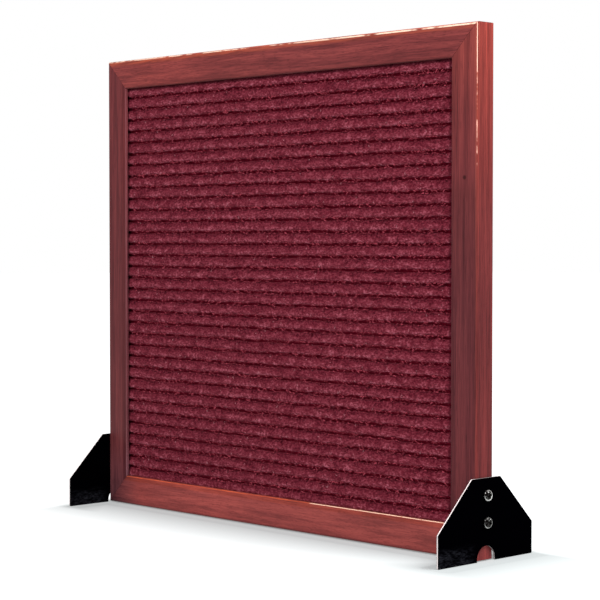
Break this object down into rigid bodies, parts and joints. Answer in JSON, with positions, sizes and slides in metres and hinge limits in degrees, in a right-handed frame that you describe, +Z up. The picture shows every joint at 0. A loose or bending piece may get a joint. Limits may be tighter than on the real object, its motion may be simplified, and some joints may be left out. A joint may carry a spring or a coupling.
{
  "type": "tabletop felt letter board",
  "caption": "Felt letter board with slotted rows for push-in letters, in a mitred stained hardwood frame that stands on flat steel feet screwed to its sides.",
  "frame": {"origin": "on the table, under the middle of the board", "axes": "+Z up; the letter side faces -Y; the board's width runs along X, with +X to a reader's right"},
  "size_m": [0.2868, 0.0682, 0.2545],
  "materials": {
    "stained_hardwood": "dark red stain under satin lacquer",
    "burgundy_felt": "matt, fuzzy, mottled",
    "fibreboard": "raw, matt",
    "hardboard": "smooth pressed face, half matt",
    "black_steel": "gloss black enamel on sheet steel",
    "bright_screw": "bright plating",
    "zinc_steel": "dull zinc"
  },
  "bodies": {
    "root": {"frame_top_rail": "stained_hardwood", "frame_bottom_rail": "stained_hardwood", "frame_left_stile": "stained_hardwood", "frame_right_stile": "stained_hardwood", "felt_face": "burgundy_felt", "grooved_core_board": "fibreboard", "backer_board": "hardboard", "left_foot": "black_steel", "right_foot": "black_steel", "left_foot_lower_screw": "bright_screw", "left_foot_upper_screw": "bright_screw", "right_foot_lower_screw": "bright_screw", "right_foot_upper_screw": "bright_screw", "corner_nail_top_left_outer": "zinc_steel", "corner_nail_top_left_inner": "zinc_steel", "corner_nail_top_right_outer": "zinc_steel", "corner_nail_top_right_inner": "zinc_steel", "corner_nail_bottom_left_outer": "zinc_steel", "corner_nail_bottom_left_inner": "zinc_steel", "corner_nail_bottom_right_outer": "zinc_steel", "corner_nail_bottom_right_inner": "zinc_steel", "panel_point_top_1": "zinc_steel", "panel_point_top_2": "zinc_steel", "panel_point_top_3": "zinc_steel", "panel_point_bottom_1": "zinc_steel", "panel_point_bottom_2": "zinc_steel", "panel_point_bottom_3": "zinc_steel", "panel_point_left_1": "zinc_steel", "panel_point_left_2": "zinc_steel", "panel_point_right_1": "zinc_steel", "panel_point_right_2": "zinc_steel"}
  },
  "joints": []
}
